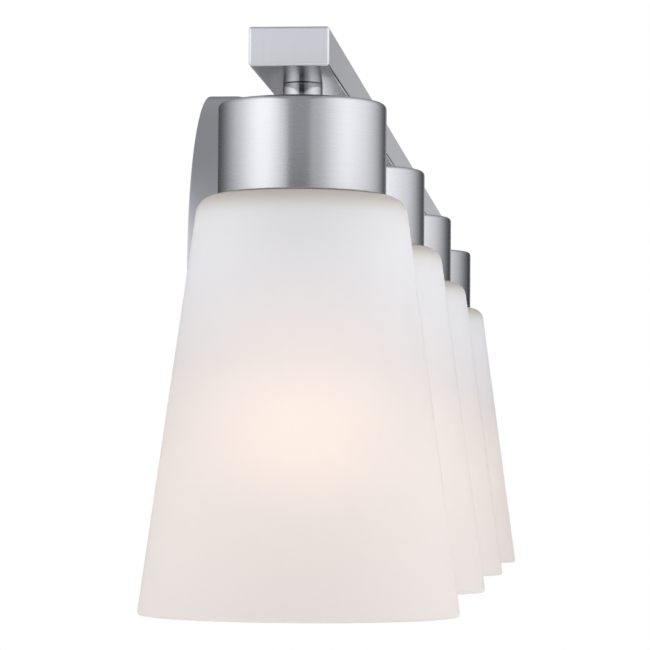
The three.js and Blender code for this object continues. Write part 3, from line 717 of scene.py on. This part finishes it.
def make_end_cap(name, side):
    """An end cap at the left (side -1) or right (side 1) end of the bar."""
    low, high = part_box(name)
    plate_low, plate_high = low.copy(), high.copy()
    if side < 0:
        plate_high.x = tube_low.x - PLATE_GAP
        outer_x = plate_low.x
    else:
        plate_low.x = tube_high.x + PLATE_GAP
        outer_x = plate_high.x

    def rim(edge):
        outside = all(abs(v.co.x - outer_x) < 1e-6 for v in edge.verts)
        lengthwise = abs((edge.verts[1].co - edge.verts[0].co).x) > 1e-4
        return outside or lengthwise

    bm = boxed(plate_low, plate_high, EDGE, 5, rim)
    bm.normal_update()
    # Flat faces take the end face's nickel with painted light, and the rounded rim takes the edge nickel with
    # a painted highlight.
    for face in bm.faces:
        face.material_index = 0 if max(abs(v) for v in face.normal) > 0.999 else 1
    plug_low = low + Vector((0 if side > 0 else PLATE, PLUG_INSET, PLUG_INSET))
    plug_high = high - Vector((0 if side < 0 else PLATE, PLUG_INSET, PLUG_INSET))
    merge_in(bm, boxed(plug_low, plug_high, 0.6 * MM, 2))
    return to_piece(bm, f"{name}_plate", name, nickel_end, edge_material=nickel_edge)


make_end_cap("end_cap_left", -1)
make_end_cap("end_cap_right", 1)
arm_low, arm_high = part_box("arm")
arm_mesh = tube_between(arm_low - Vector((0, SEAM, 0)), arm_high, "Y", ARM_EDGE, WALL)
to_piece(arm_mesh, "arm_tube", "arm", nickel_bar)
print("arm length", round(arm_high.y - arm_low.y, 4))

# %% [markdown]
# ## The canopy
# The canopy is a spun steel dish. Its profile is drawn lying down, from the middle of its front round the
# corner to the lip at the wall and back along the inside, and it is turned to face the room.

# %% Canopy
CANOPY_CORNER, CANOPY_INNER_CORNER = 9 * MM, 7.8 * MM
CANOPY_LIP = 4 * MM


def make_canopy():
    """A dish with a rounded front corner and a lip turned in at the wall."""
    low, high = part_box("canopy")
    radius = (high.x - low.x) / 2
    depth = high.y - low.y
    lip = radius - CANOPY_LIP
    profile = [(0, depth), (radius, depth, CANOPY_CORNER), (radius, 0, 0.4 * MM), (lip, 0, 0.2 * MM),
               (lip, WALL), (radius - WALL, WALL), (radius - WALL, depth - WALL, CANOPY_INNER_CORNER),
               (0, depth - WALL)]
    bm = turned(profile, Vector((0, 0, 0)), CANOPY_SIDES, axis="Y")
    return to_piece(bm, "canopy_spun", "canopy", nickel_canopy)


canopy = make_canopy()
print("canopy", tuple(round(v, 3) for v in canopy.dimensions))

# %% [markdown]
# ## The plates behind the canopy
# The strap that goes on the wall box and the arm's foot are stamped from zinc-plated sheet, so their corners
# are rounded through the thickness and their faces stay flat.

# %% Plates
STRAP_CORNER, FOOT_CORNER = 6 * MM, 3 * MM


def rounded_plate(name, covers, material, rounding):
    """A flat plate facing the room, rounded at its four corners."""
    low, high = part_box(covers)

    def through(edge):
        return abs((edge.verts[1].co - edge.verts[0].co).y) > 1e-5

    return to_piece(boxed(low, high, rounding, 5, through), name, covers, material)


rounded_plate("crossbar_strap", "crossbar", zinc, STRAP_CORNER)
rounded_plate("arm_foot", "arm_foot_plate", zinc, FOOT_CORNER)
print("plates 2")

# %% [markdown]
# ## Screws, studs and cap nuts
# They all lie along Y. A screw is a turned head and a threaded rod, a stud is the rod alone, and a cap nut
# is a dome drawn as a quarter ellipse. Turning one to lie down makes its profile's height run along minus Y.

# %% Screws, studs and cap nuts
STUD_RADIUS = 2 * MM
METRIC_PITCH = 0.8 * MM
THREAD_DEPTH = 0.4 * MM
SCREW_SIDES, ROD_SIDES, NUT_SIDES = 32, 24, 48


def lying(name):
    """A node's box and the point where its axis along Y crosses the wall."""
    low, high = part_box(name)
    return low, high, Vector(((low.x + high.x) / 2, 0, (low.z + high.z) / 2))


def rod(radius, low, high, centre):
    """A threaded rod between two profile heights."""
    thread = waves(radius, low, high, METRIC_PITCH, THREAD_DEPTH, 4)
    return turned([(0, thread[0][1])] + thread + [(0, thread[-1][1])], centre, ROD_SIDES, axis="Y")


def make_screw(covers, material, head, thickness, shank, head_at_wall):
    """A screw whose head is at the end of its node that is nearer the wall, or at the other end."""
    low, high, centre = lying(covers)
    front, back = (high.y - thickness, high.y) if head_at_wall else (low.y, low.y + thickness)
    profile = [(0, -back), (head, -back, 0.5 * MM), (head, -front, 0.5 * MM), (0, -front)]
    bm = turned(profile, centre, SCREW_SIDES, axis="Y")
    merge_in(bm, rod(shank, -high.y + 0.2 * MM, -low.y - 0.2 * MM, centre))
    return to_piece(bm, f"{covers}_turned", covers, material)


def make_stud(covers):
    """A mounting screw, threaded all along."""
    low, high, centre = lying(covers)
    return to_piece(rod(STUD_RADIUS, -high.y, -low.y, centre), f"{covers}_stud", covers, zinc)


def make_cap_nut(covers):
    """A domed nut, open at the back."""
    low, high, centre = lying(covers)
    radius = (high.x - low.x) / 2
    back, front = -high.y, -low.y
    straight = back + 1.6 * MM
    dome = [(radius * math.cos(a), straight + (front - straight) * math.sin(a))
            for a in [math.pi / 2 * i / 12 for i in range(13)]]
    dome[-1] = (0, front)
    profile = [(2.4 * MM, back), (radius * 0.7, back)] + dome
    return to_piece(turned(profile, centre, NUT_SIDES, axis="Y"), f"{covers}_domed", covers, nickel_neck)


make_screw("arm_screw_left", zinc, 3.5 * MM, 2.2 * MM, 2 * MM, True)
make_screw("arm_screw_right", zinc, 3.5 * MM, 2.2 * MM, 2 * MM, True)
make_screw("ground_screw", green_zinc, 4 * MM, 2.4 * MM, 1.8 * MM, False)
for side in ("left", "right"):
    make_stud(f"mounting_screw_{side}")
    make_cap_nut(f"cap_nut_{side}")
print("screws 3, studs 2, cap nuts 2")

# %% [markdown]
# ## What stays from the frame
# The nipples, locknuts, contacts and wires sit inside the metal, and their CAD shapes are already right, so
# they keep them and only take a finish.

# %% Finishes on kept solids
finish_of_slot = {"zinc_steel": zinc, "brass": brass, "black_wire": black_vinyl, "white_wire": white_vinyl}
kept_kinds = ("nipple", "locknut", "wire")
kept = [n for n in frame["nodes"] if n.split("_")[0] in kept_kinds or "contact" in n]
for name in kept:
    mesh = frame["nodes"][name].data
    mesh.materials.clear()
    mesh.materials.append(finish_of_slot[slot_of_node[name]])
print("kept solids", len(kept))

# %% [markdown]
# ## Floor
# A pale matt floor lies well below the light, with a faint glow of its own so that it stays pale where the
# light panels don't reach. It is part of the stage, not of the light.

# %% Floor
FLOOR_DROP = 1.5
FLOOR_SIZE = 6.0

floor_z = cad_box[0].z - FLOOR_DROP
floor_mesh = bpy.data.meshes.new("floor")
floor_bm = bmesh.new()
bmesh.ops.create_grid(floor_bm, x_segments=1, y_segments=1, size=FLOOR_SIZE)
bmesh.ops.translate(floor_bm, vec=(0, 0, floor_z), verts=floor_bm.verts)
floor_bm.to_mesh(floor_mesh)
floor_bm.free()
floor_material, _, floor_shader, _ = new_material("matt_white_floor")
floor_shader.inputs["Base Color"].default_value = colour("#F6F6F6")
floor_shader.inputs["Roughness"].default_value = 0.9
floor_shader.inputs["Emission Color"].default_value = colour("#FFFFFF")
floor_shader.inputs["Emission Strength"].default_value = 0.15
floor_mesh.materials.append(floor_material)
floor = bpy.data.objects.new("floor", floor_mesh)
bpy.context.scene.collection.objects.link(floor)
print("floor at", round(floor_z, 3))

# %% [markdown]
# ## The world
# The camera sees plain white. Everything else sees a grey that darkens towards +X, the way the camera looks,
# and lightens again in a narrow patch straight that way. Overhead it is an even light grey, and below the
# horizon a dark one. The direction of each ray, split into X and Z, picks the grey.

# %% World
world = bpy.data.worlds.new("studio")
world.use_nodes = True
bpy.context.scene.world = world
sky = world.node_tree
direction = node(sky, "ShaderNodeTexCoord").outputs["Generated"]
heading = node(sky, "ShaderNodeSeparateXYZ", {"Vector": direction})
ahead = node(sky, "ShaderNodeMapRange", {"Value": heading.outputs["X"]}, {"From Min": -1.0, "From Max": 1.0})
around = node(sky, "ShaderNodeValToRGB", {"Fac": ahead.outputs["Result"]},
              stops=[(0.0, "#BFBFC2"), (0.3, "#B8B8BB"), (0.6, "#ACACB0"), (0.8, "#6A6B6E"),
                     (0.88, "#4A4B4E"), (0.968, "#4A4B4E"), (0.985, "#98989B"), (0.998, "#C4C4C8")])
upward = node(sky, "ShaderNodeMapRange", {"Value": heading.outputs["Z"]}, {"From Min": 0.15, "From Max": 0.6},
              interpolation_type="SMOOTHSTEP")
downward = node(sky, "ShaderNodeMapRange", {"Value": heading.outputs["Z"]},
                {"From Min": 0.0, "From Max": -0.04}, interpolation_type="SMOOTHSTEP")
with_above = node(sky, "ShaderNodeMix", data_type="RGBA")
sky.links.new(upward.outputs["Result"], with_above.inputs["Factor"])
sky.links.new(around.outputs["Color"], with_above.inputs["A"])
with_above.inputs["B"].default_value = colour("#AAABAF")
with_below = node(sky, "ShaderNodeMix", data_type="RGBA")
sky.links.new(downward.outputs["Result"], with_below.inputs["Factor"])
sky.links.new(with_above.outputs["Result"], with_below.inputs["A"])
with_below.inputs["B"].default_value = colour("#3A3B3E")
seen = node(sky, "ShaderNodeBackground", inputs={"Color": colour("#FFFFFF"), "Strength": 1.0})
lighting = node(sky, "ShaderNodeBackground", {"Color": with_below.outputs["Result"]}, {"Strength": 1.0})
light_path = node(sky, "ShaderNodeLightPath")
either = node(sky, "ShaderNodeMixShader", {"Fac": light_path.outputs["Is Camera Ray"]})
sky.links.new(lighting.outputs["Background"], either.inputs[1])
sky.links.new(seen.outputs["Background"], either.inputs[2])
sky.links.new(either.outputs["Shader"], sky.nodes["World Output"].inputs["Surface"])
print("world", world.name, "with", len(sky.nodes), "nodes")

# %% [markdown]
# ## Light panels
# Two tall area lights run along the bar, one on each side, brightest a little before the first lamp. They
# draw a soft bright band on each side of a round satin piece, with darker edges and a darker middle.
# An area light's Object coordinates are metres in its own plane, so a ramp over X gives each panel its
# brightness along the bar, and a smooth fade over Y keeps its top and bottom edges from showing in the metal.

# %% Light panels
PANEL_HEIGHT = 3.2
PANEL_FADE = 0.9
PANEL_MIDDLE_Z = 0.2


def graded_panel(name, panel_y, levels):
    """A tall light panel along the bar, as bright along X as its levels say, and soft at top and bottom."""
    low_x, high_x = levels[0][0], levels[-1][0]
    data = bpy.data.lights.new(name, "AREA")
    data.shape = "RECTANGLE"
    data.size = high_x - low_x
    data.size_y = PANEL_HEIGHT
    peak = max(bright for x, bright in levels)
    data.energy = math.pi * data.size * data.size_y * peak
    data.use_nodes = True
    tree = data.node_tree
    facing = 1 if panel_y < 0 else -1
    place = node(tree, "ShaderNodeTexCoord").outputs["Object"]
    spot = node(tree, "ShaderNodeSeparateXYZ", {"Vector": place})
    across = node(tree, "ShaderNodeMapRange", {"Value": spot.outputs["X"]},
                  {"From Min": -facing * data.size / 2, "From Max": facing * data.size / 2})
    greys = [((x - low_x) / data.size, (bright / peak, bright / peak, bright / peak, 1.0))
             for x, bright in levels]
    graded = node(tree, "ShaderNodeValToRGB", {"Fac": across.outputs["Result"]}, stops=greys)
    off_middle = node(tree, "ShaderNodeMath", {0: spot.outputs["Y"]}, operation="ABSOLUTE")
    fade_ends = {"From Min": PANEL_HEIGHT / 2, "From Max": PANEL_HEIGHT / 2 - PANEL_FADE}
    edge = node(tree, "ShaderNodeMapRange", {"Value": off_middle.outputs["Value"]}, fade_ends,
                interpolation_type="SMOOTHSTEP")
    emission = tree.nodes["Emission"]
    tree.links.new(graded.outputs["Color"], emission.inputs["Color"])
    tree.links.new(edge.outputs["Result"], emission.inputs["Strength"])
    panel = bpy.data.objects.new(name, data)
    local_z = Vector((0, -facing, 0))
    local_x = Vector((0, 0, 1)).cross(local_z)
    turn_panel = Matrix((local_x, Vector((0, 0, 1)), local_z)).transposed().to_4x4()
    panel.matrix_world = Matrix.Translation(((low_x + high_x) / 2, panel_y, PANEL_MIDDLE_Z)) @ turn_panel
    panel.visible_camera = False
    bpy.context.scene.collection.objects.link(panel)
    return panel


print("panels are", PANEL_HEIGHT, "m tall and fade over", PANEL_FADE, "m")

# %% [markdown]
# The levels are radiances at places along X, in metres. The right panel stands on the room's side of the bar
# and the left one behind the wall's plane, which nothing here blocks.

# %% Panel levels
RIGHT_Y, LEFT_Y = -0.98, 0.92
RIGHT_LEVELS = [(-3.4, 0.34), (-2.5, 0.3), (-2.1, 0.31), (-1.69, 0.43), (-1.3, 0.72), (-0.94, 1.02),
                (-0.7, 1.16), (-0.46, 1.05), (-0.23, 0.9), (0.1, 0.7), (0.38, 0.5), (0.65, 0.3),
                (1.0, 0.13), (1.6, 0.02)]
LEFT_LEVELS = [(-4.4, 0.5), (-2.9, 0.7), (-2.03, 1.0), (-1.56, 1.2), (-1.24, 1.25), (-0.99, 1.23),
               (-0.72, 1.02), (-0.455, 0.68), (-0.155, 0.37), (0.1, 0.21), (0.26, 0.15), (0.56, 0.08),
               (1.4, 0.03)]
graded_panel("right_panel", RIGHT_Y, RIGHT_LEVELS)
graded_panel("left_panel", LEFT_Y, LEFT_LEVELS)
bpy.context.scene.view_settings.view_transform = "Standard"
